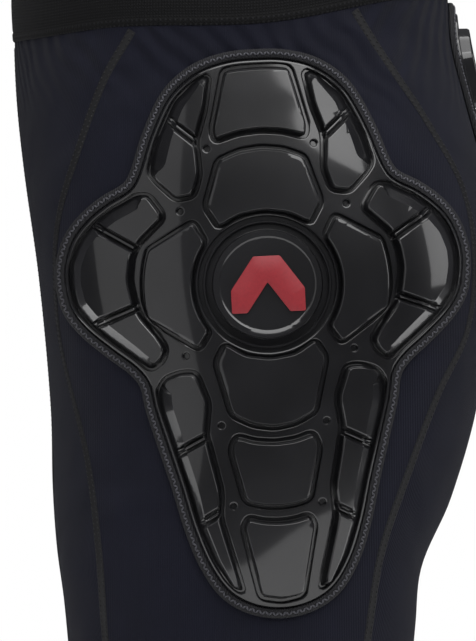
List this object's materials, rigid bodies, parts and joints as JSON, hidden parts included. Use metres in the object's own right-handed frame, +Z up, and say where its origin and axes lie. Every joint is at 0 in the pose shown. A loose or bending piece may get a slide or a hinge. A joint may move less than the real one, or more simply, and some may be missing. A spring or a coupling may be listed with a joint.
{
  "type": "padded impact shorts",
  "caption": "Stretch jersey shorts with moulded foam-filled pads over the hips and tailbone, an elastic waistband and elastic hems, worn under snow trousers.",
  "frame": {"origin": "centre of the bounding box, on the plane of the hems", "axes": "+Z up from the hems to the waistband; -Y is the wearer's front, +Y the back; +X is the wearer's left"},
  "size_m": [0.3652, 0.2552, 0.4959],
  "materials": {
    "jersey": "matt stretch jersey, navy-black, fine knit",
    "elastic": "black ribbed elastic webbing, matt with a faint sheen",
    "silicone": "satin dark grey silicone print",
    "film": "satin-gloss black thermoformed film with crisp moulded edges",
    "foam": "matt grey soft foam",
    "backing": "matt black lining cloth",
    "binding": "charcoal zigzag-stitched edge binding",
    "emblem": "satin red raised plastic",
    "label": "blank dark woven label"
  },
  "bodies": {
    "root": {"care_label": "label", "crotch_gusset": "jersey", "left_back_panel": "jersey", "left_front_panel": "jersey", "left_hem_band": "elastic", "left_hem_gripper": "silicone", "left_hip_backing": "backing", "left_hip_binding": "binding", "left_hip_emblem": "emblem", "left_hip_foam_boss": "foam", "left_hip_foam_front_kidney": "foam", "left_hip_foam_front_lower_flank": "foam", "left_hip_foam_front_upper_flank": "foam", "left_hip_foam_front_wing": "foam", "left_hip_foam_lower_centre_1": "foam", "left_hip_foam_lower_centre_2": "foam", "left_hip_foam_lower_centre_3": "foam", "left_hip_foam_rear_kidney": "foam", "left_hip_foam_rear_lower_flank": "foam", "left_hip_foam_rear_upper_flank": "foam", "left_hip_foam_rear_wing": "foam", "left_hip_foam_top": "foam", "left_hip_foam_upper_centre": "foam", "left_hip_shell": "film", "left_side_panel": "jersey", "right_back_panel": "jersey", "right_front_panel": "jersey", "right_hem_band": "elastic", "right_hem_gripper": "silicone", "right_hip_backing": "backing", "right_hip_binding": "binding", "right_hip_emblem": "emblem", "right_hip_foam_boss": "foam", "right_hip_foam_front_kidney": "foam", "right_hip_foam_front_lower_flank": "foam", "right_hip_foam_front_upper_flank": "foam", "right_hip_foam_front_wing": "foam", "right_hip_foam_lower_centre_1": "foam", "right_hip_foam_lower_centre_2": "foam", "right_hip_foam_lower_centre_3": "foam", "right_hip_foam_rear_kidney": "foam", "right_hip_foam_rear_lower_flank": "foam", "right_hip_foam_rear_upper_flank": "foam", "right_hip_foam_rear_wing": "foam", "right_hip_foam_top": "foam", "right_hip_foam_upper_centre": "foam", "right_hip_shell": "film", "right_side_panel": "jersey", "tailbone_backing": "backing", "tailbone_binding": "binding", "tailbone_foam_centre": "foam", "tailbone_foam_lower_left": "foam", "tailbone_foam_lower_right": "foam", "tailbone_foam_tip": "foam", "tailbone_foam_upper_left": "foam", "tailbone_foam_upper_right": "foam", "tailbone_shell": "film", "waistband": "elastic"}
  },
  "joints": []
}
